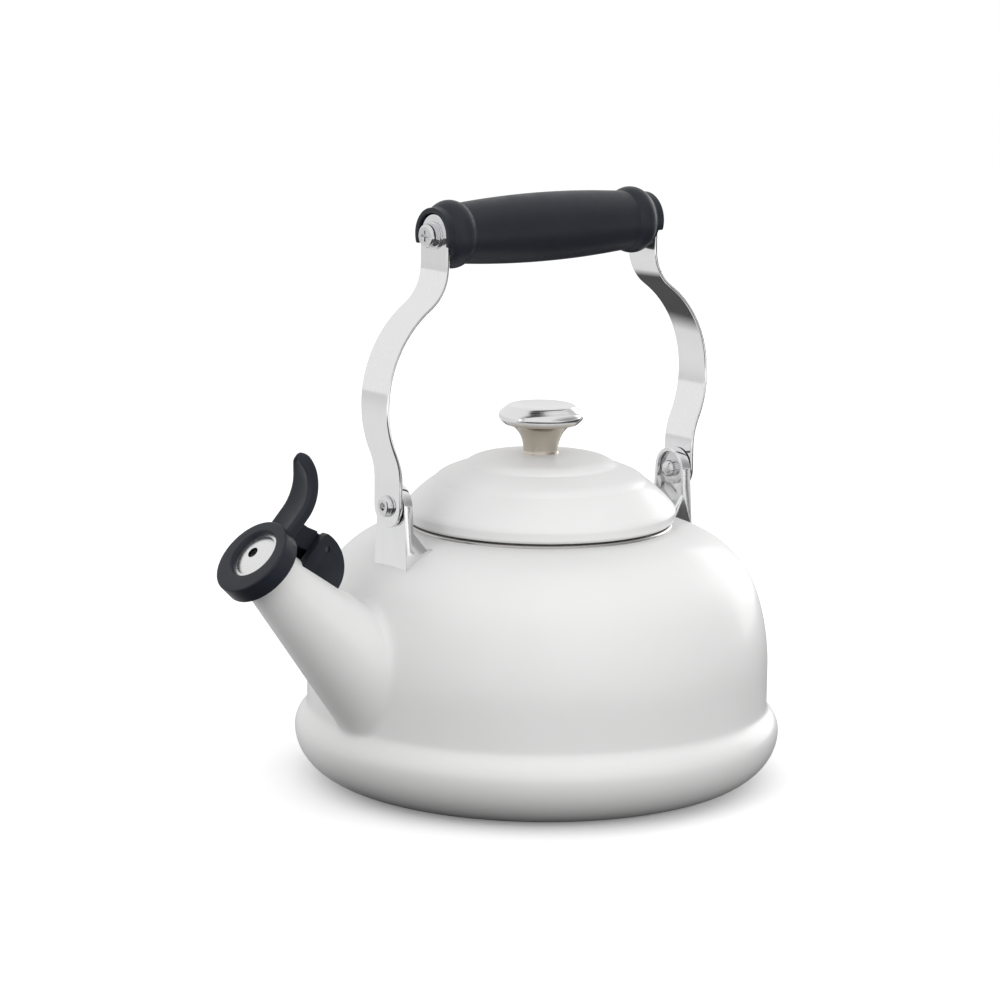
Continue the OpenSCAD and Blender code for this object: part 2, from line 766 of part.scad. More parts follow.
// Turned knob: a trumpet stem under a dished round head
module lid_knob() {
    stem = [[7.4, lid_top_z], [7.1, lid_top_z + 0.6]];
    flare = oval([neck_r + flare_out, flare_z], [flare_out, flare_rise], 180, 90, 9);
    edge = oval([knob_r - 3.2, 150.4], [3.2, 2.8], -48, 55, 9);
    crown = [[knob_dish_r + 0.8, knob_top_z - 0.3], [knob_dish_r, knob_top_z]];
    dish = [for (i = [1:6]) let (u = 1 - i / 6) [knob_dish_r * u, knob_top_z - dish_depth * (1 - u * u)]];
    color(steel) difference() {
        rotate_extrude() polygon(concat([[0, lid_top_z]], stem, flare, edge, crown, dish));
        translate([0, 0, lid_top_z - 1]) cylinder(h = knob_bore_z - lid_top_z + 1, r = knob_bore_r);
    }
}

knob_washer_t = 1;
knob_washer_r = 7.5;
knob_head_t = 2.4;

module knob_washer() {
    color(steel) translate([0, 0, lid_top_z - lid_t - knob_washer_t])
        washer(knob_washer_r, knob_bore_r, knob_washer_t);
}

module knob_screw() {
    seat_z = lid_top_z - lid_t - knob_washer_t;
    tip_z = knob_bore_z - 2;
    color(steel) difference() {
        union() {
            translate([0, 0, seat_z]) cylinder(h = tip_z - seat_z, r = knob_bore_r);
            translate([0, 0, seat_z]) rotate_extrude() polygon(concat(
                [[0, 0], [4.8, 0]], oval([0, -0.6], [4.8, knob_head_t - 0.6], 0, -90, 8)
            ));
        }
        for (turn = [0, 90]) rotate([0, 0, turn]) translate([-2, -0.5, seat_z - knob_head_t - 1])
            cube([4, 1, 2.4]);
    }
}

body_shell();
base_pan();
trim_ring();
spout_tube();
front_bracket();
rear_bracket();
pivot_screws();
pivot_nuts();
pivot_washers();
friction_washers();
hinge_bracket();
spout_lug();
hinge_pin();
front_strap();
rear_strap();
grip();
grip_inserts();
grip_screws();
grip_washers();
lid_shell();
lid_skirt();
lid_knob();
knob_screw();
knob_washer();
whistle_cap();
whistle_outer_disc();
whistle_inner_disc();
thumb_lever();
lever_spring();
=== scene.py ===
"""Visual model of a stovetop whistling kettle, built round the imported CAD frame.
Lengths in the tables below are in millimetres and are scaled to metres as meshes are made."""

import math

import bmesh
import bpy
import numpy as np
from mathutils import Matrix, Vector


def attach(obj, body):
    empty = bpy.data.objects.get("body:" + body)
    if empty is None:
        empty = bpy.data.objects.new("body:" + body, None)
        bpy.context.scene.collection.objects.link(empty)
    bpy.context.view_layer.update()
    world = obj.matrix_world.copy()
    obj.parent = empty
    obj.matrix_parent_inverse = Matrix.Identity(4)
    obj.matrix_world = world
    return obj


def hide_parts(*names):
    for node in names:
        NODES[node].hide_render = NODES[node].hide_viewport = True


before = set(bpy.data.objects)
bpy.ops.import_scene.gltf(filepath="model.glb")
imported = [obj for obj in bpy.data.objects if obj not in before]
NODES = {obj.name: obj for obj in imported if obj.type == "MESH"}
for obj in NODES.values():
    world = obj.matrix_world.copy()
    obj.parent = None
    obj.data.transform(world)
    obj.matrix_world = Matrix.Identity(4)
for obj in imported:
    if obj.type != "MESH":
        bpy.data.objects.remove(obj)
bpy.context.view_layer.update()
MM = 0.001

# ---- Driving sizes, as in the CAD ----------------------------------------------------------
RIM_R, RIM_CREST_Z, BASE_FLAT_R, CREST_ROUND_R = 100.0, 21.0, 74.0, 10.5
WALL_R, CREASE_ROUND_R, WALL_TOP_Z = 95.0, 4.0, 48.0
SHOULDER_R, SHOULDER_A = (94.0, 39.0, 120.0), (18.6, 71.7)
SHELL_T, OPENING_R = 1.2, 50.5
CAP_X, CAP_Z, SPOUT_RISE = -144.7, 108.7, 43.5
SPOUT_TIP_R, SPOUT_LIP_S, SPOUT_TAPER, SPOUT_T = 10.5, 5.2, 0.155, 1.2
CAP_R, CAP_T, CAP_FACE_R, CAP_ROUND = 16.8, 8.0, 11.0, 0.8
DISC_R, DISC_X, DISC_DEPTH, DISC_T, DISC_RISE, DISC_HOLE_R = 10.2, 1.6, 2.2, 0.5, 2.5, 2.3
CHAMBER_R, CHAMBER_END, SOCKET_R = 9.5, 4.6, 12.3
HINGE_X, HINGE_S, BARREL_R, ARM_W, SPRING_GAP_W = 21.5, 22.4, 4.2, 8.0, 4.4
LEVER_W, LEVER_T, LEVER_FACE_S, LEVER_BEND_X, LEVER_BEND_R = 14.0, 5.0, 2.8, 25.0, 16.0
PIVOT_Z, HANDLE_SHIFT, STRAP_W, STRAP_T = 121.1, 1.2, 17.2, 1.5
STRAP_FOOT_X, STRAP_HEAD_X, STRAP_BOW_X, STRAP_BOW_Z = 77.5, 55.2, 84.4, 162.0
STRAP_BOW_R, STRAP_BEND_Z, STRAP_LEAN = 46.0, 131.0, 57.0
GRIP_Z, GRIP_MID_R, GRIP_NECK_R = 227.9, 14.0, 12.1
GRIP_RING_R, GRIP_RING_X, GRIP_RING_ROUND = 13.7, 47.2, 6.6
HOOD_X, HOOD_R, HOOD_DROP = 56.3, 11.1, 3.9
LID_R, LID_EDGE_Z, LID_BELLY_Z, LID_EDGE_R, LID_T = 55.9, 107.5, 111.8, 54.3, 1.1
LID_TOP_Z, SEAT_R, DOME_EDGE = 135.0, 8.0, (25.0, 133.3)
STEP_1, TIER_EDGE, STEP_2, SIDE_FOOT = (31.3, 130.3), (39.6, 127.1), (43.8, 123.9), (54.3, 114.6)
KNOB_R, KNOB_TOP_Z = 17.4, 154.9
RING_TOP_Z, RING_OUTER_R, RING_COLLAR_R, RING_ROUND = 106.8, 54.6, 49.4, 1.0

HALF_W = STRAP_W / 2
TURN = 192


def polar(c, r, a):
    return (c[0] + r * math.cos(math.radians(a)), c[1] + r * math.sin(math.radians(a)))


def arc(c, r, a0, a1, n):
    return [polar(c, r, a0 + (a1 - a0) * i / n) for i in range(n + 1)]


def oval(c, h, a0, a1, n):
    return [(c[0] + h[0] * math.cos(math.radians(a)), c[1] + h[1] * math.sin(math.radians(a)))
            for a in (a0 + (a1 - a0) * i / n for i in range(n + 1))]


def soften(points, sigma, step):
    """Resamples an open line at even steps and averages it, which rounds its corners."""
    p = np.array(points, float)
    gap = np.hypot(*np.diff(p, axis=0).T)
    p = p[np.concatenate([[True], gap > 1e-9])]
    along = np.concatenate([[0], np.cumsum(np.hypot(*np.diff(p, axis=0).T))])
    count = max(2, int(round(along[-1] / step)))
    u = np.linspace(0, along[-1], count + 1)
    q = np.stack([np.interp(u, along, p[:, 0]), np.interp(u, along, p[:, 1])], 1)
    reach = max(1, min(int(3 * sigma / step), count - 1))
    w = np.exp(-0.5 * (np.arange(-reach, reach + 1) * step / sigma) ** 2)
    w /= w.sum()
    first = 2 * q[0] - q[1:reach + 1][::-1]
    last = 2 * q[-1] - q[-reach - 1:-1][::-1]
    long = np.concatenate([first, q, last])
    out = np.stack([np.convolve(long[:, k], w, "valid") for k in (0, 1)], 1)
    out[0], out[-1] = q[0], q[-1]
    return [tuple(v) for v in out]


# ---- Meshes --------------------------------------------------------------------------------
def piece(name, verts, faces, body, slot, look, hides=(), place=None, sharp=38):
    """A new mesh from millimetre points, smooth up to the sharp angle, riding on a body."""
    m = place or Matrix.Identity(4)
    me = bpy.data.meshes.new(name)
    me.from_pydata([(m @ Vector(v)) * MM for v in verts], [], faces)
    bm = bmesh.new()
    bm.from_mesh(me)
    bmesh.ops.remove_doubles(bm, verts=bm.verts, dist=1e-7)
    bmesh.ops.recalc_face_normals(bm, faces=bm.faces)
    bm.to_mesh(me)
    bm.free()
    me.polygons.foreach_set("use_smooth", [True] * len(me.polygons))
    me.set_sharp_from_angle(angle=math.radians(sharp))
    me.materials.append(look)
    ob = bpy.data.objects.new(name, me)
    bpy.context.scene.collection.objects.link(ob)
    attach(ob, body)
    if hides:
        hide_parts(*hides)
    return ob


def spin(loop, steps=TURN, closed=True):
    """Turns rows of (radius, height, shift along x) round the z axis."""
    verts, faces = [], []
    for row in loop:
        shift = row[2] if len(row) > 2 else 0
        for k in range(steps):
            a = 2 * math.pi * k / steps
            verts.append((row[0] * math.cos(a) + shift, row[0] * math.sin(a), row[1]))
    rows = len(loop)
    for i in range(rows if closed else rows - 1):
        j = (i + 1) % rows
        for k in range(steps):
            n = (k + 1) % steps
            faces.append((i * steps + k, i * steps + n, j * steps + n, j * steps + k))
    return verts, faces


def loft(rings, cap_ends=True, close=False):
    """Joins rings of equal length into a tube."""
    size = len(rings[0])
    verts = [v for ring in rings for v in ring]
    faces = []
    for i in range(len(rings) if close else len(rings) - 1):
        j = (i + 1) % len(rings)
        for k in range(size):
            n = (k + 1) % size
            faces.append((i * size + k, i * size + n, j * size + n, j * size + k))
    if cap_ends and not close:
        faces.append(tuple(range(size)))
        faces.append(tuple((len(rings) - 1) * size + k for k in range(size)))
    return verts, faces


def prism(outline, y0, y1):
    """A drawing made in x and z, drawn out from y0 to y1."""
    return loft([[(x, y0, z) for x, z in outline], [(x, y1, z) for x, z in outline]])


def joined(*parts):
    verts, faces = [], []
    for v, f in parts:
        base = len(verts)
        verts += v
        faces += [tuple(base + i for i in face) for face in f]
    return verts, faces


def rounded_edges(ob, width, segments=3, angle=35):
    m = ob.modifiers.new("edges", "BEVEL")
    m.width = width * MM
    m.segments = segments
    m.limit_method = "ANGLE"
    m.angle_limit = math.radians(angle)
    m.harden_normals = True
    return ob


# ---- Looks ---------------------------------------------------------------------------------
class Look:
    """A procedural material on the principled shader, textured in the object's own space."""

    def __init__(self, name, **values):
        self.mat = bpy.data.materials.new(name)
        self.mat.use_nodes = True
        self.tree = self.mat.node_tree
        self.bsdf = self.tree.nodes["Principled BSDF"]
        self.place = self.add("ShaderNodeTexCoord").outputs["Object"]
        for key, value in values.items():
            self.bsdf.inputs[key.replace("_", " ")].default_value = value

    def add(self, kind, **values):
        node = self.tree.nodes.new(kind)
        for key, value in values.items():
            setattr(node, key, value)
        return node

    def link(self, a, b):
        self.tree.links.new(a, b)

    def grain(self, scale, detail=3.0, rough=0.55, turned=False):
        """Noise at scale (per metre along x, y and z). Turned grain runs in rings round the z axis."""
        source = self.place
        if turned:
            parts = self.add("ShaderNodeSeparateXYZ")
            self.link(source, parts.inputs[0])
            flat = self.add("ShaderNodeCombineXYZ")
            self.link(parts.outputs[0], flat.inputs[0])
            self.link(parts.outputs[1], flat.inputs[1])
            length = self.add("ShaderNodeVectorMath", operation="LENGTH")
            self.link(flat.outputs[0], length.inputs[0])
            rings = self.add("ShaderNodeCombineXYZ")
            self.link(length.outputs["Value"], rings.inputs[0])
            self.link(parts.outputs[2], rings.inputs[2])
            source = rings.outputs[0]
        mapping = self.add("ShaderNodeMapping")
        mapping.inputs["Scale"].default_value = scale
        self.link(source, mapping.inputs["Vector"])
        noise = self.add("ShaderNodeTexNoise")
        noise.inputs["Scale"].default_value = 1.0
        noise.inputs["Detail"].default_value = detail
        noise.inputs["Roughness"].default_value = rough
        self.link(mapping.outputs[0], noise.inputs["Vector"])
        return noise.outputs["Fac"]

    def tint(self, fac, low, high, start=0.3, end=0.7):
        ramp = self.add("ShaderNodeValToRGB")
        for stop, at, colour in zip(ramp.color_ramp.elements, (start, end), (low, high)):
            stop.position = at
            stop.color = (*colour, 1)
        self.link(fac, ramp.inputs[0])
        self.link(ramp.outputs[0], self.bsdf.inputs["Base Color"])

    def sheen(self, fac, low, high):
        spread = self.add("ShaderNodeMapRange")
        for key, value in (("From Min", 0.3), ("From Max", 0.7), ("To Min", low), ("To Max", high)):
            spread.inputs[key].default_value = value
        self.link(fac, spread.inputs["Value"])
        self.link(spread.outputs[0], self.bsdf.inputs["Roughness"])

    def relief(self, fac, depth, strength=1.0):
        bump = self.add("ShaderNodeBump")
        bump.inputs["Strength"].default_value = strength
        bump.inputs["Distance"].default_value = depth * MM
        self.link(fac, bump.inputs["Height"])
        self.link(bump.outputs[0], self.bsdf.inputs["Normal"])


def enamel_look():
    look = Look("enamel", Specular_IOR_Level=0.5, Coat_Weight=0.2, Coat_Roughness=0.12)
    cloud = look.grain((14, 14, 14), detail=4)
    look.tint(cloud, (0.715, 0.715, 0.710), (0.740, 0.740, 0.737))
    look.sheen(look.grain((60, 60, 60), detail=5), 0.38, 0.46)
    look.relief(look.grain((900, 900, 900), detail=2), 0.012, 0.35)
    return look.mat


def steel_look(name, low, high, rough, scale, depth, turned=False):
    """Steel tinted from low to high, rough over a range, with grain of that scale and depth."""
    look = Look(name, Metallic=1.0)
    fine = look.grain(scale, detail=4, turned=turned)
    look.tint(fine, low, high)
    look.sheen(look.grain(tuple(s / 3 for s in scale), detail=3, turned=turned), *rough)
    look.relief(fine, depth, 0.5)
    return look.mat


def knob_look(low_z, high_z, neck, head):
    """Turned steel with a painted reflection: warm tan on the stem below low_z, plain steel on the head
    above high_z.
    """
    look = Look("knob_steel_painted_reflection", Metallic=1.0)
    height = look.add("ShaderNodeSeparateXYZ")
    look.link(look.place, height.inputs[0])
    # Painted reflection: the colour runs by height from the stem's tan to the head's plain steel
    climb = look.add("ShaderNodeMapRange")
    climb.inputs["From Min"].default_value, climb.inputs["From Max"].default_value = low_z, high_z
    look.link(height.outputs["Z"], climb.inputs["Value"])
    look.tint(climb.outputs[0], neck, head, 0.0, 1.0)
    look.sheen(look.grain((1700, 1, 900), detail=3, turned=True), 0.14, 0.26)
    look.relief(look.grain((5200, 1, 2600), detail=4, turned=True), 0.002, 0.5)
    return look.mat


def plastic_look():
    look = Look("charcoal_plastic", Specular_IOR_Level=0.27)
    look.tint(look.grain((45, 45, 45), detail=6), (0.0120, 0.0140, 0.0200), (0.0165, 0.0190, 0.0270))
    look.sheen(look.grain((160, 160, 160), detail=5), 0.34, 0.44)
    look.relief(look.grain((2600, 2600, 2600), detail=3), 0.03, 0.5)
    return look.mat


def brass_look():
    look = Look("insert_brass", Metallic=1.0)
    fine = look.grain((600, 3000, 3000), detail=3)
    look.tint(fine, (0.60, 0.42, 0.16), (0.70, 0.50, 0.22))
    look.sheen(fine, 0.25, 0.38)
    look.relief(fine, 0.01, 0.4)
    return look.mat


ENAMEL = enamel_look()
POLISHED = steel_look("polished_steel", (0.83, 0.83, 0.84), (0.88, 0.88, 0.89), (0.08, 0.13),
                      (2200, 2200, 40), 0.0008)
TURNED = steel_look("brushed_steel", (0.76, 0.76, 0.76), (0.84, 0.84, 0.84), (0.16, 0.24),
                    (5200, 1, 2600), 0.002, turned=True)
# A darker copy of the brushed steel: a painted dark reflection on the trim ring, standing in for the
# dark surroundings it would mirror
RING_STEEL_PAINTED_REFLECTION = steel_look("ring_steel_painted_reflection", (0.46, 0.45, 0.44), (0.54, 0.53, 0.52), (0.20, 0.30),
                        (5200, 1, 2600), 0.002, turned=True)
# Heights (m) below which the knob's stem carries its painted tan reflection, and above which the head is
# plain steel
KNOB_REFLECTION_TO_Z, KNOB_PLAIN_FROM_Z = 0.1478, 0.1492
KNOB_STEEL = knob_look(KNOB_REFLECTION_TO_Z, KNOB_PLAIN_FROM_Z, (0.58, 0.53, 0.46), (0.82, 0.82, 0.82))
FASTENER = steel_look("fastener_steel", (0.68, 0.68, 0.69), (0.76, 0.76, 0.77), (0.13, 0.20),
                      (1500, 1500, 1500), 0.001)
PIN_STEEL = steel_look("pin_steel", (0.10, 0.10, 0.11), (0.16, 0.16, 0.17), (0.30, 0.42),
                       (1500, 1500, 1500), 0.002)
DISC_STEEL = steel_look("disc_steel", (0.78, 0.78, 0.78), (0.86, 0.86, 0.86), (0.26, 0.34),
                        (4200, 4200, 4200), 0.0015)
PLASTIC = plastic_look()
BRASS = brass_look()

# ---- Body ----------------------------------------------------------------------------------
rim_centre = (BASE_FLAT_R, RIM_CREST_Z)
crest_centre = (RIM_R - CREST_ROUND_R, RIM_CREST_Z)
crease_reach = CREST_ROUND_R + CREASE_ROUND_R
crease_a = math.degrees(math.acos((WALL_R + CREASE_ROUND_R - crest_centre[0]) / crease_reach))
crease_centre = polar(crest_centre, crease_reach, crease_a)
shoulder_c1 = (WALL_R - SHOULDER_R[0], WALL_TOP_Z)
shoulder_c2 = polar(shoulder_c1, SHOULDER_R[0] - SHOULDER_R[1], SHOULDER_A[0])
shoulder_c3 = polar(shoulder_c2, SHOULDER_R[1] - SHOULDER_R[2], SHOULDER_A[1])


def shoulder_z(r):
    return shoulder_c3[1] + math.sqrt(SHOULDER_R[2] ** 2 - (r - shoulder_c3[0]) ** 2)


def body_side(inset, end_r, dense):
    end_a = math.degrees(math.acos((end_r - shoulder_c3[0]) / (SHOULDER_R[2] - inset)))
    return (oval(rim_centre, (RIM_R - BASE_FLAT_R - inset, RIM_CREST_Z - inset), -90, 0, 14 * dense)
            + arc(crest_centre, CREST_ROUND_R - inset, 3, crease_a, 8 * dense)
            + arc(crease_centre, CREASE_ROUND_R + inset, 180 + crease_a, 180, 6 * dense)[1:]
            + arc(shoulder_c1, SHOULDER_R[0] - inset, 0, SHOULDER_A[0], 6 * dense)
            + arc(shoulder_c2, SHOULDER_R[1] - inset, SHOULDER_A[0], SHOULDER_A[1], 10 * dense)[1:]
            + arc(shoulder_c3, SHOULDER_R[2] - inset, SHOULDER_A[1], end_a, 5 * dense)[1:])


at_cap = (Matrix.Translation((CAP_X, 0, CAP_Z))
          @ Matrix.Rotation(math.radians(SPOUT_RISE - 90), 4, "Y"))


def spout_r(s):
    return SPOUT_TIP_R + SPOUT_TAPER * (s - SPOUT_LIP_S)


skin = soften(body_side(0, OPENING_R, 4), 0.8, 0.7)
body = piece("body_skin", *spin(skin + body_side(SHELL_T, OPENING_R, 1)[::-1], 256), "kettle",
             "enamel", ENAMEL, ["body_shell"])

# The spout's way through the wall is cut with a tapered plug, which is then removed
PLUG_FROM, PLUG_TO = 50, 105
plug = piece("spout_plug", *spin([(0, -PLUG_FROM), (spout_r(PLUG_FROM) - SPOUT_T, -PLUG_FROM),
                                  (spout_r(PLUG_TO) - SPOUT_T, -PLUG_TO), (0, -PLUG_TO)],
                                 96, closed=False),
             "kettle", "enamel", ENAMEL, place=at_cap)
cut = body.modifiers.new("spout_hole", "BOOLEAN")
cut.operation, cut.solver, cut.object = "DIFFERENCE", "EXACT", plug
bpy.context.view_layer.update()
shaped = bpy.data.meshes.new_from_object(body.evaluated_get(bpy.context.evaluated_depsgraph_get()))
body.modifiers.clear()
body.data = shaped
bpy.data.objects.remove(plug)

# Base, with a raised ring bead pressed into its underside
BEAD_R, BEAD_RISE, BEAD_INSIDE_RISE, BASE_T = (58, 60, 66, 68), 1, 0.8, 2.2
under = soften([(0, 0), (BEAD_R[0], 0), (BEAD_R[1], BEAD_RISE), (BEAD_R[2], BEAD_RISE),
                (BEAD_R[3], 0), (BASE_FLAT_R, 0)], 0.5, 0.4)
lip = oval(rim_centre, (RIM_R - BASE_FLAT_R - SHELL_T, RIM_CREST_Z - SHELL_T), -90, -60, 8)
lip_in = oval(rim_centre, (RIM_R - BASE_FLAT_R - BASE_T, RIM_CREST_Z - BASE_T), -60, -90, 8)
bead_top = BASE_T + BEAD_INSIDE_RISE
over = soften([(BASE_FLAT_R, BASE_T), (BEAD_R[3] + 0.5, BASE_T), (BEAD_R[2] + 0.5, bead_top),
               (BEAD_R[1] - 0.5, bead_top), (BEAD_R[0] - 0.5, BASE_T), (0, BASE_T)], 0.5, 1)
piece("base_disc", *spin(under + lip + lip_in + over[1:], closed=False), "kettle", "enamel",
      ENAMEL, ["base_pan"])

# Ring round the opening: a collar inside, a rolled flange on the shoulder outside
RING_T, RING_FOOT_Z = 0.8, 95
crown = (RING_OUTER_R - RING_ROUND, RING_TOP_Z - RING_ROUND)
flange = [(RING_COLLAR_R - RING_T, RING_FOOT_Z), (RING_COLLAR_R, RING_FOOT_Z),
          (RING_COLLAR_R, shoulder_z(OPENING_R) - 0.2)]
flange += [(r, shoulder_z(r) + 0.01) for r in np.linspace(OPENING_R, RING_OUTER_R, 12)]
flange += arc(crown, RING_ROUND, 0, 90, 10)
flange += soften([(RING_OUTER_R - RING_ROUND, RING_TOP_Z), (RING_COLLAR_R - 0.1, RING_TOP_Z),
                  (RING_COLLAR_R - RING_T, RING_TOP_Z - 0.7), (RING_COLLAR_R - RING_T, RING_FOOT_Z)],
                 0.3, 0.25)[1:-1]
piece("ring_trim", *spin(flange), "kettle", "brushed_steel", RING_STEEL_PAINTED_REFLECTION, ["trim_ring"])

# ---- Spout, flowing into the body through a fillet -----------------------------------------
side_r, side_z = np.array(body_side(0, OPENING_R, 8)).T
FILLET_R, FILLET_STEPS, SPOUT_TURNS = 4.6, 12, 160
SEARCH_FROM_S, INNER_TOP_S, INNER_OVERLAP = 40.0, 30, 0.7
FILLET_LIFT, TUCK_REACH, TUCK_RISE = 0.01, 1.0, -0.25


def outside(p):
    """Distance out from the body's side, along the radius."""
    return math.hypot(p[0], p[1]) - float(np.interp(p[2], side_z, side_r))


def body_normal(p):
    h = 0.05
    g = Vector([outside(p + Vector(d) * h) - outside(p - Vector(d) * h)
                for d in ((1, 0, 0), (0, 1, 0), (0, 0, 1))])
    return g.normalized()


def on_spout(turn, s, inset=0.0):
    r = spout_r(s) - inset
    return at_cap @ Vector((r * math.cos(turn), r * math.sin(turn), -s))


def meeting(turn, inset=0.0):
    """How far down the spout its wall first meets the body."""
    s = SEARCH_FROM_S
    while outside(on_spout(turn, s, inset)) > 0:
        s += 0.5
    low, high = s - 0.5, s
    for _ in range(24):
        mid = (low + high) / 2
        if outside(on_spout(turn, mid, inset)) > 0:
            low = mid
        else:
            high = mid
    return high


def settle(p, rise):
    """Moves p along the body's normal until it stands at that rise above the side."""
    for _ in range(12):
        n = body_normal(p)
        p = p - n * (outside(p) * math.hypot(n[0], n[1]) - rise)
    return p


turns = [2 * math.pi * k / SPOUT_TURNS for k in range(SPOUT_TURNS)]
met = [on_spout(t, meeting(t)) for t in turns]
lip_rows = soften([(SPOUT_LIP_S + 1.2, SPOUT_T), (SPOUT_LIP_S, SPOUT_T), (SPOUT_LIP_S, 0),
                   (SPOUT_LIP_S + 1.2, 0)], 0.25, 0.15)
# Each column runs from the inside of the wall, over the lip, down the outside and round the
# fillet, and tucks its end just under the body's skin
columns = []
for k, turn in enumerate(turns):
    joint = met[k]
    s = meeting(turn)
    up = (on_spout(turn, s - 1) - joint).normalized()
    normal = body_normal(joint)
    along = (met[(k + 1) % len(met)] - met[k - 1]).normalized()
    away = along.cross(normal).normalized()
    radial = on_spout(turn, s) - on_spout(turn, s, spout_r(s))
    if away.dot(radial) < 0:
        away = -away
    opening = math.acos(max(-0.95, min(0.95, up.dot(away))))
    reach = FILLET_R / math.tan(opening / 2)
    start = joint + up * reach
    end = settle(joint + away * reach, FILLET_LIFT)
    column = [on_spout(turn, meeting(turn, SPOUT_T) + INNER_OVERLAP, SPOUT_T),
              on_spout(turn, INNER_TOP_S, SPOUT_T)]
    column += [on_spout(turn, row[0], row[1]) for row in lip_rows]
    top = on_spout(turn, lip_rows[-1][0])
    column += [top.lerp(start, i / 8) for i in range(1, 8)]
    for i in range(FILLET_STEPS + 1):
        t = i / FILLET_STEPS
        column.append(start * (1 - t) ** 2 + joint * (2 * t * (1 - t)) + end * t ** 2)
    column.append(settle(joint + away * (reach + TUCK_REACH), TUCK_RISE))
    columns.append(column)
rings = [[column[i] for column in columns] for i in range(len(columns[0]))]
piece("spout_skin", *loft(rings, close=True), "kettle", "enamel", ENAMEL, ["spout_tube"], sharp=60)

# ---- Whistle -------------------------------------------------------------------------------
front = arc((CAP_R - CAP_ROUND, -CAP_ROUND), CAP_ROUND, 90, 0, 8)
back = arc((CAP_R - CAP_ROUND, CAP_ROUND - CAP_T), CAP_ROUND, 0, -90, 8)
CAP_CHAMFER, DISC_FOOT = 1.2, DISC_DEPTH + DISC_T
mouth = soften([(CAP_FACE_R + 1.4, 0), (CAP_FACE_R, 0), (DISC_R, -CAP_CHAMFER), (DISC_R, -DISC_FOOT)],
               0.18, 0.15)
rows = [(r, z, 0) for r, z in front + back]
rows += [(SOCKET_R, -CAP_T, 0), (SOCKET_R, -CHAMBER_END, 0), (CHAMBER_R, -CHAMBER_END, DISC_X)]
rows += [(CHAMBER_R, -DISC_FOOT, DISC_X)] + [(r, z, DISC_X) for r, z in mouth[::-1]]
piece("cap_moulding", *spin(rows, 128), "whistle", "charcoal_plastic", PLASTIC, ["whistle_cap"],
      place=at_cap)

DISC_RIM = 1
dome_r = DISC_R - DISC_RIM
rise = [(r, DISC_RISE * (1 - (r / dome_r) ** 2) - DISC_DEPTH)
        for r in np.linspace(DISC_HOLE_R, dome_r, 20)]
disc_top = soften(rise + [(DISC_R, -DISC_DEPTH)], 0.2, 0.2)
rows = disc_top + [(r, z - DISC_T) for r, z in disc_top[::-1]]
at_disc = at_cap @ Matrix.Translation((DISC_X, 0, 0))
piece("disc_outer", *spin(rows, 96), "whistle", "brushed_steel", DISC_STEEL,
      ["whistle_outer_disc"], place=at_disc)

# Thumb lever: rounded sections swept along the blade, thinner and narrower to the tip
bend = (LEVER_BEND_X, LEVER_BEND_R - LEVER_FACE_S)
LEVER_TURN, TIP_LENGTH, TIP_ROUND, EDGE_ROUND, DISH = 79.0, 9.0, 3.2, 1.5, 0.6
LEVER_ROOT_X, LEVER_TAPER_SPAN = 13.0, 24
straight = LEVER_BEND_X - LEVER_ROOT_X
bend_length = math.radians(LEVER_TURN) * (LEVER_BEND_R + LEVER_T / 2)
blade_length = straight + bend_length


def blade_frame(u):
    """Mid-thickness point, and the direction of the concave face, at length u."""
    if u <= straight:
        return (LEVER_ROOT_X + u, -LEVER_FACE_S - LEVER_T / 2), (0.0, 1.0)
    a = -90 + math.degrees((u - straight) / (LEVER_BEND_R + LEVER_T / 2))
    x, z = polar(bend, LEVER_BEND_R + LEVER_T / 2, a)
    return (x, z), (-math.cos(math.radians(a)), -math.sin(math.radians(a)))


def blade_section(u):
    (x, z), (nx, nz) = blade_frame(u)
    plan = max(0.0, 1 - (max(0.0, x - LEVER_BEND_X - 0.5) / LEVER_TAPER_SPAN) ** 2)
    near_tip = max(0.0, u - (blade_length - TIP_LENGTH)) / TIP_LENGTH
    thin = max(0.0, u - (blade_length - TIP_ROUND)) / TIP_ROUND
    half = LEVER_W / 2 * math.sqrt(plan) * math.sqrt(max(0.0, 1 - near_tip ** 2))
    deep = LEVER_T / 2 * math.sqrt(max(0.0, 1 - thin ** 2))
    edge = min(EDGE_ROUND, half, deep)
    flat = half - edge
    ring = []
    for q, (sy, sn) in enumerate(((1, 1), (-1, 1), (-1, -1), (1, -1))):
        for i in range(7):
            a = math.radians(90 * q + 90 * i / 6)
            v, n = sy * flat + edge * math.cos(a), sn * (deep - edge) + edge * math.sin(a)
            ring.append((v, n))
        if q in (0, 2):
            step = range(1, 12) if q == 0 else range(1, 4)
            total = 12 if q == 0 else 4
            for i in step:
                v = sy * flat * (1 - 2 * i / total)
                sink = DISH * (1 - (v / flat) ** 2) if q == 0 and flat > 0.01 else 0
                ring.append((v, sn * deep - sink * min(1, deep)))
    return [(x + n * nx, v, z + n * nz) for v, n in ring]


stops = list(np.linspace(0, blade_length - TIP_LENGTH, 34))
stops += [blade_length - TIP_LENGTH * (1 - math.sin(math.radians(a))) for a in range(4, 88, 4)]
stops += [blade_length - 0.004]
blade = loft([blade_section(u) for u in stops])
piece("lever_blade", *blade, "whistle", "charcoal_plastic", PLASTIC, ["thumb_lever"],
      place=at_cap, sharp=50)

# The lever's arm: two ears round the hinge pin, with the spring's gap between, under a bridge
barrel = (HINGE_X, -HINGE_S)
ear = [(15.2, -11.0), (22.6, -11.0), (24.4, -14.5)] + arc(barrel, BARREL_R, 22, -190, 40)
bridge = [(15.2, -4.9), (22.6, -4.9), (23.6, -11.5), (25.3, -16.6), (16.2, -16.6), (15.2, -13)]
ears = joined(prism(ear, SPRING_GAP_W / 2, ARM_W / 2), prism(ear, -ARM_W / 2, -SPRING_GAP_W / 2),
              prism(bridge, -ARM_W / 2 + 0.02, ARM_W / 2 - 0.02))
rounded_edges(piece("lever_arm", *ears, "whistle", "charcoal_plastic", PLASTIC, place=at_cap), 0.35)

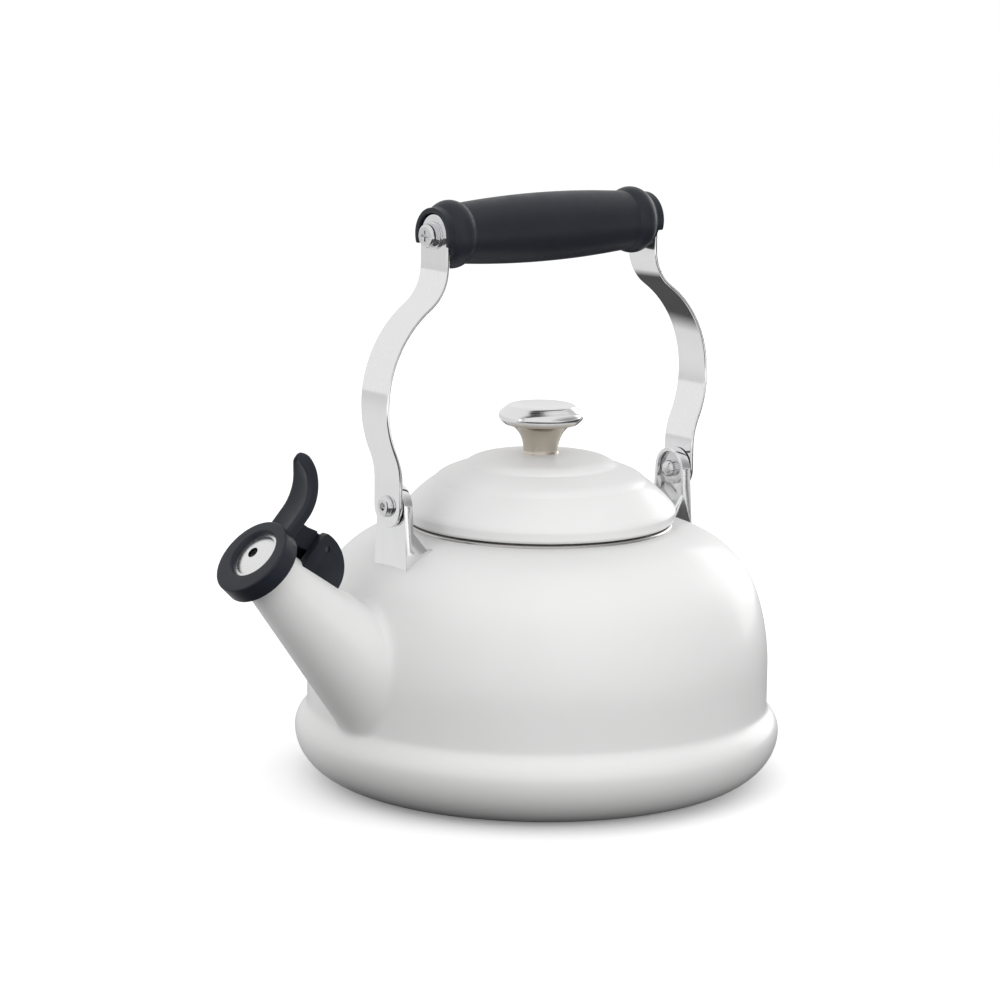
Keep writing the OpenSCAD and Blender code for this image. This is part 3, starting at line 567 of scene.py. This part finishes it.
# ---- Handle --------------------------------------------------------------------------------
bow_centre = (STRAP_BOW_X - STRAP_BOW_R, STRAP_BOW_Z)
foot_rise, foot_dx = STRAP_BOW_Z - STRAP_BEND_Z, STRAP_FOOT_X - bow_centre[0]
foot_r = (foot_rise ** 2 - STRAP_BOW_R ** 2 + foot_dx ** 2) / (2 * (STRAP_BOW_R - foot_dx))
foot_a = math.degrees(math.asin(foot_rise / (STRAP_BOW_R + foot_r)))
lean_point = polar(bow_centre, STRAP_BOW_R, STRAP_LEAN)
head_r = (lean_point[0] - STRAP_HEAD_X) / (1 - math.cos(math.radians(STRAP_LEAN)))
head_bend_z = lean_point[1] + head_r * math.sin(math.radians(STRAP_LEAN))
STRAP_EDGE = 0.5


def edge_drop(e, c):
    """How far a face with rounded edges of radius c drops at distance e from its outline."""
    return 0.0 if e >= c else c - math.sqrt(max(0.0, c * c - (c - max(e, 0.0)) ** 2))


def strap_mesh():
    line = [(STRAP_FOOT_X, PIVOT_Z)]
    line += arc((STRAP_FOOT_X + foot_r, STRAP_BEND_Z), foot_r, 180, 180 - foot_a, 24)
    line += arc(bow_centre, STRAP_BOW_R, -foot_a, STRAP_LEAN, 70)[1:]
    line += arc((STRAP_HEAD_X + head_r, head_bend_z), head_r, 180 + STRAP_LEAN, 180, 36)[1:]
    line = soften(line + [(STRAP_HEAD_X, GRIP_Z)], 1.2, 0.6)
    # Each station: outer point, outward direction, half width, distance past the end's centre
    stations = []
    tips = [HALF_W * math.sin(math.radians(a)) for a in range(90, 0, -5)]
    stations += [((STRAP_FOOT_X, PIVOT_Z - d), (1.0, 0.0), d) for d in tips]
    for i, p in enumerate(line):
        a, b = line[max(0, i - 1)], line[min(len(line) - 1, i + 1)]
        size = math.hypot(b[0] - a[0], b[1] - a[1])
        stations.append((p, ((b[1] - a[1]) / size, -(b[0] - a[0]) / size), 0.0))
    stations += [((STRAP_HEAD_X, GRIP_Z + d), (1.0, 0.0), d) for d in tips[::-1]]
    across = [math.sin(math.radians(a)) for a in np.linspace(-90, 90, 31)]
    rings = []
    for (x, z), (nx, nz), d in stations:
        half = math.sqrt(max(0.0, HALF_W ** 2 - d * d))
        outer, inner = [], []
        for share in across:
            v = half * share
            drop = edge_drop(HALF_W - math.hypot(d, v), STRAP_EDGE)
            outer.append((x - drop * nx, v, z - drop * nz))
            back = STRAP_T - drop
            inner.append((x - back * nx, v, z - back * nz))
        rings.append(outer + inner[::-1])
    return loft(rings, cap_ends=False)


STRAP = strap_mesh()
rear = Matrix.Translation((-HANDLE_SHIFT, 0, 0))
fore = rear @ Matrix.Diagonal((-1, 1, 1, 1))
piece("strap_rear", *STRAP, "handle", "polished_steel", POLISHED, ["rear_strap"], place=rear)
piece("strap_front", *STRAP, "handle", "polished_steel", POLISHED, ["front_strap"], place=fore)

grip_end_x = STRAP_HEAD_X - STRAP_T
ring_arc_r = GRIP_RING_R - GRIP_RING_ROUND
ring_in_a = math.degrees(math.acos((GRIP_NECK_R - ring_arc_r) / GRIP_RING_ROUND))
ring_out_a = math.degrees(math.acos((HOOD_R - ring_arc_r) / GRIP_RING_ROUND))
neck_x = GRIP_RING_X - GRIP_RING_ROUND * math.sin(math.radians(ring_in_a))
half_line = [(neck_x * u, GRIP_MID_R - (GRIP_MID_R - GRIP_NECK_R) * u * u)
             for u in np.linspace(0, 1, 40)]
half_line += arc((GRIP_RING_X, ring_arc_r), GRIP_RING_ROUND, 90 + ring_in_a, 90 - ring_out_a, 40)
half_line += [(grip_end_x, HOOD_R)]
half_line = soften(half_line, 0.28, 0.3)
profile = [(0, -grip_end_x)] + [(r, -x) for x, r in half_line[::-1]] + [(r, x) for x, r in half_line[1:]]
profile += [(0, grip_end_x)]
at_grip = rear @ Matrix.Translation((0, 0, GRIP_Z)) @ Matrix.Rotation(math.radians(90), 4, "Y")
piece("grip_barrel", *spin(profile, 128, closed=False), "handle", "charcoal_plastic", PLASTIC,
      ["grip"], place=at_grip)

inner_r = HALF_W + 0.4
low_a = math.degrees(math.asin(HOOD_DROP / HOOD_R))
outer_line = arc((0, 0), HOOD_R, -low_a, 180 + low_a, 64)
inner_line = ([(inner_r, -HOOD_DROP + HOOD_DROP * i / 4) for i in range(4)]
              + arc((0, 0), inner_r, 0, 180, 56)
              + [(-inner_r, -HOOD_DROP * i / 4) for i in range(1, 5)])
hood_line = outer_line + inner_line[::-1]
for name, place in (("grip_hood_rear", rear), ("grip_hood_front", fore)):
    ends = [[(x, y, GRIP_Z + z) for y, z in hood_line] for x in (grip_end_x - 1, HOOD_X)]
    rounded_edges(piece(name, *loft(ends), "handle", "charcoal_plastic", PLASTIC, place=place), 0.45)

# ---- Lid -----------------------------------------------------------------------------------
def bulge(p, q, r, inset, n):
    p, q = np.array(p, float), np.array(q, float)
    half = np.linalg.norm(q - p) / 2
    down = (q - p) / (2 * half)
    c = (p + q) / 2 - np.array([-down[1], down[0]]) * math.sqrt(r * r - half * half)
    a0, a1 = (math.degrees(math.atan2(*(v - c)[::-1])) for v in (p, q))
    return arc(tuple(c), r - inset, a0, a1, n)


# The lid's bends from the knob's seat to the belly: two tiers with a hollow crease below each
LID_BENDS = [((SEAT_R, LID_TOP_Z), DOME_EDGE, 230.0), (DOME_EDGE, STEP_1, 11.5),
             (STEP_1, TIER_EDGE, 120.0), (TIER_EDGE, STEP_2, 12.0), (STEP_2, SIDE_FOOT, 50.0),
             (SIDE_FOOT, (LID_R, LID_BELLY_Z), 5.0)]


def lid_side(inset, dense):
    return [q for start, end, r in LID_BENDS for q in bulge(start, end, r, inset, 6 * dense)]


LID_BORE_R, HEM_R, HEM_T = 2.6, 51.5, 0.9
lid_out = soften([(LID_BORE_R, LID_TOP_Z)] + lid_side(0, 3)
                 + [(LID_R - 0.5, LID_EDGE_Z + 1), (LID_EDGE_R, LID_EDGE_Z)], 0.3, 0.25)
lid_in = soften([(LID_EDGE_R - 0.1, LID_EDGE_Z + 1.1)] + lid_side(LID_T, 1)[::-1]
                + [(LID_BORE_R, LID_TOP_Z - LID_T)], 0.5, 0.8)
hem = [(HEM_R, LID_EDGE_Z), (HEM_R, LID_EDGE_Z + HEM_T)]
piece("lid_dome", *spin(lid_out + hem + lid_in, 224), "lid", "enamel", ENAMEL, ["lid_shell"])

NECK_R, FLARE_Z, FLARE_SIZE = 7.1, 135.8, (7.8, 11.2)
KNOB_EDGE_Z, KNOB_EDGE_SIZE, DISH_R, DISH_DEPTH = 150.4, (3.2, 2.8), 12.9, 1.3
KNOB_BORE_R, KNOB_BORE_Z = 2.5, 147
stem = [(NECK_R + 0.4, LID_TOP_Z), (NECK_R, LID_TOP_Z + 0.8)]
flare = oval((NECK_R + FLARE_SIZE[0], FLARE_Z), FLARE_SIZE, 180, 90, 24)
edge = oval((KNOB_R - KNOB_EDGE_SIZE[0], KNOB_EDGE_Z), KNOB_EDGE_SIZE, -48, 55, 24)
crown_line = [(DISH_R + 0.8, KNOB_TOP_Z - 0.3), (DISH_R, KNOB_TOP_Z)]
dish = [(DISH_R * u, KNOB_TOP_Z - DISH_DEPTH * (1 - u ** 2)) for u in (1 - i / 24 for i in range(1, 25))]
knob_line = soften(stem + flare + edge + crown_line + dish, 0.3, 0.2)
bore = [(0, KNOB_BORE_Z), (KNOB_BORE_R, KNOB_BORE_Z), (KNOB_BORE_R, LID_TOP_Z)]
piece("knob_turned", *spin(bore + knob_line, 128, closed=False), "lid", "brushed_steel", KNOB_STEEL,
      ["lid_knob"])

# ---- CAD parts that stay, with their edges eased and a finish ------------------------------
KEPT = {
    "front_bracket": (POLISHED, 0.5), "rear_bracket": (POLISHED, 0.5),
    "pivot_screws": (FASTENER, 0.15), "pivot_nuts": (FASTENER, 0), "pivot_washers": (FASTENER, 0.12),
    "friction_washers": (FASTENER, 0), "hinge_bracket": (PLASTIC, 0.5), "spout_lug": (FASTENER, 0),
    "hinge_pin": (PIN_STEEL, 0), "grip_inserts": (BRASS, 0), "grip_screws": (FASTENER, 0.12),
    "grip_washers": (FASTENER, 0.15), "lid_skirt": (TURNED, 0), "knob_screw": (FASTENER, 0),
    "knob_washer": (FASTENER, 0), "whistle_inner_disc": (DISC_STEEL, 0), "lever_spring": (FASTENER, 0),
}
for name, (look, width) in KEPT.items():
    ob = NODES[name]
    ob.data.materials.clear()
    ob.data.materials.append(look)
    ob.data.polygons.foreach_set("use_smooth", [True] * len(ob.data.polygons))
    if width:
        weld = ob.modifiers.new("weld", "WELD")
        weld.merge_threshold = 1e-6
        flat = ob.modifiers.new("flat", "DECIMATE")
        flat.decimate_type, flat.angle_limit = "DISSOLVE", math.radians(1)
        rounded_edges(ob, width)

# ---- Floor, light and camera ---------------------------------------------------------------
FLOOR = 14.0
# Centre and radius of the floor's dark patches, which only reflections and stray light see
DARK_PATCHES = [((0.42, -0.10, 0), 0.53), ((-0.26, -0.28, 0), 0.36), ((1.05, -1.30, 0), 0.50)]
PATCH_BLUR, PATCH_SHADE, FLOOR_SHADE = 0.035, 0.08, 0.80
SKY_DIM_WAY, SKY_DIM_FROM, SKY_DIM_TO = (0.66, -0.75, 0.0), 0.55, 0.95
SKY_BRIGHT, SKY_DIM, SKY_STRENGTH = 1.05, 0.40, 0.86

floor_me = bpy.data.meshes.new("floor")
floor_me.from_pydata([(-FLOOR, -FLOOR, 0), (FLOOR, -FLOOR, 0), (FLOOR, FLOOR, 0), (-FLOOR, FLOOR, 0)],
                     [], [(0, 1, 2, 3)])
floor = bpy.data.objects.new("floor", floor_me)
bpy.context.scene.collection.objects.link(floor)
pale = Look("floor_pale", Roughness=0.9, Specular_IOR_Level=0.1, Emission_Strength=0.16,
            Emission_Color=(1, 1, 1, 1))
pale.tint(pale.grain((3, 3, 3)), (0.985, 0.985, 0.985), (0.995, 0.995, 0.995))
floor_me.materials.append(pale.mat)

# Seen by the camera the floor is pale all over; what the object mirrors of it has dark patches
dark = pale.add("ShaderNodeBsdfDiffuse")
patches = []
for centre, radius in DARK_PATCHES:
    away = pale.add("ShaderNodeVectorMath", operation="DISTANCE")
    away.inputs[1].default_value = centre
    pale.link(pale.place, away.inputs[0])
    edge_at = pale.add("ShaderNodeMath", operation="SUBTRACT")
    edge_at.inputs[1].default_value = radius
    pale.link(away.outputs["Value"], edge_at.inputs[0])
    patches.append(edge_at)
near = patches[0]
for edge_at in patches[1:]:
    least = pale.add("ShaderNodeMath", operation="MINIMUM")
    pale.link(near.outputs[0], least.inputs[0])
    pale.link(edge_at.outputs[0], least.inputs[1])
    near = least
ramp = pale.add("ShaderNodeMapRange")
for key, value in (("From Min", -PATCH_BLUR), ("From Max", PATCH_BLUR), ("To Min", PATCH_SHADE),
                   ("To Max", FLOOR_SHADE)):
    ramp.inputs[key].default_value = value
pale.link(near.outputs[0], ramp.inputs["Value"])
pale.link(ramp.outputs[0], dark.inputs["Color"])
rays = pale.add("ShaderNodeLightPath")
either = pale.add("ShaderNodeMixShader")
pale.link(rays.outputs["Is Camera Ray"], either.inputs[0])
pale.link(dark.outputs[0], either.inputs[1])
pale.link(pale.bsdf.outputs[0], either.inputs[2])
pale.link(either.outputs[0], pale.tree.nodes["Material Output"].inputs["Surface"])

world = bpy.data.worlds.new("studio")
bpy.context.scene.world = world
world.use_nodes = True
tree = world.node_tree
sky = tree.nodes["Background"]
coords = tree.nodes.new("ShaderNodeTexCoord")
toward = tree.nodes.new("ShaderNodeVectorMath")
toward.operation = "DOT_PRODUCT"
toward.inputs[1].default_value = SKY_DIM_WAY
spread = tree.nodes.new("ShaderNodeMapRange")
for key, value in (("From Min", SKY_DIM_FROM), ("From Max", SKY_DIM_TO), ("To Min", SKY_BRIGHT),
                   ("To Max", SKY_DIM)):
    spread.inputs[key].default_value = value
tree.links.new(coords.outputs["Generated"], toward.inputs[0])
tree.links.new(toward.outputs["Value"], spread.inputs["Value"])
tree.links.new(spread.outputs[0], sky.inputs["Color"])
sky.inputs["Strength"].default_value = SKY_STRENGTH


def softbox(name, at, aim, size, watts, mirrored=True):
    """A soft rectangular light. One that isn't mirrored lights surfaces but shows in no reflection."""
    data = bpy.data.lights.new(name, "AREA")
    data.shape = "RECTANGLE"
    data.size, data.size_y = size
    data.energy = watts
    lamp = bpy.data.objects.new(name, data)
    lamp.location = at
    lamp.rotation_euler = (Vector(aim) - Vector(at)).to_track_quat("-Z", "Y").to_euler()
    lamp.visible_glossy = mirrored
    bpy.context.scene.collection.objects.link(lamp)
    return lamp


softbox("key", (0.1, -1.4, 0.42), (0, 0, 0.08), (2.0, 0.8), 11.5, mirrored=False)
softbox("side", (1.3, 0.25, 0.35), (0, 0, 0.1), (0.9, 0.9), 5)
softbox("fill", (-1.4, -0.3, 0.6), (0, 0, 0.1), (0.9, 0.9), 3.5, mirrored=False)

FOCAL_PX, FRAME_PX, SENSOR = 3956.15, 1000.0, 36.0
AZIMUTH, ELEVATION, ROLL = math.radians(39.43), math.radians(10.54), math.radians(0.87)
back = Vector((-math.sin(AZIMUTH) * math.cos(ELEVATION), -math.cos(AZIMUTH) * math.cos(ELEVATION),
               math.sin(ELEVATION)))
right = Vector((math.cos(AZIMUTH), -math.sin(AZIMUTH), 0))
upward = back.cross(right)
tilted_right = right * math.cos(ROLL) + upward * math.sin(ROLL)
tilted_up = upward * math.cos(ROLL) - right * math.sin(ROLL)
camera_data = bpy.data.cameras.new("camera")
camera_data.sensor_width = SENSOR
camera_data.lens = FOCAL_PX / FRAME_PX * SENSOR
camera_data.shift_x, camera_data.shift_y = -0.03975, -0.01171
camera_data.clip_end = 60
camera = bpy.data.objects.new("camera", camera_data)
camera.matrix_world = (Matrix.Translation((-1.01319, -1.23200, 0.41677))
                       @ Matrix((tilted_right, tilted_up, back)).transposed().to_4x4())
bpy.context.scene.collection.objects.link(camera)
bpy.context.scene.camera = camera
bpy.context.scene.view_settings.view_transform = "Standard"
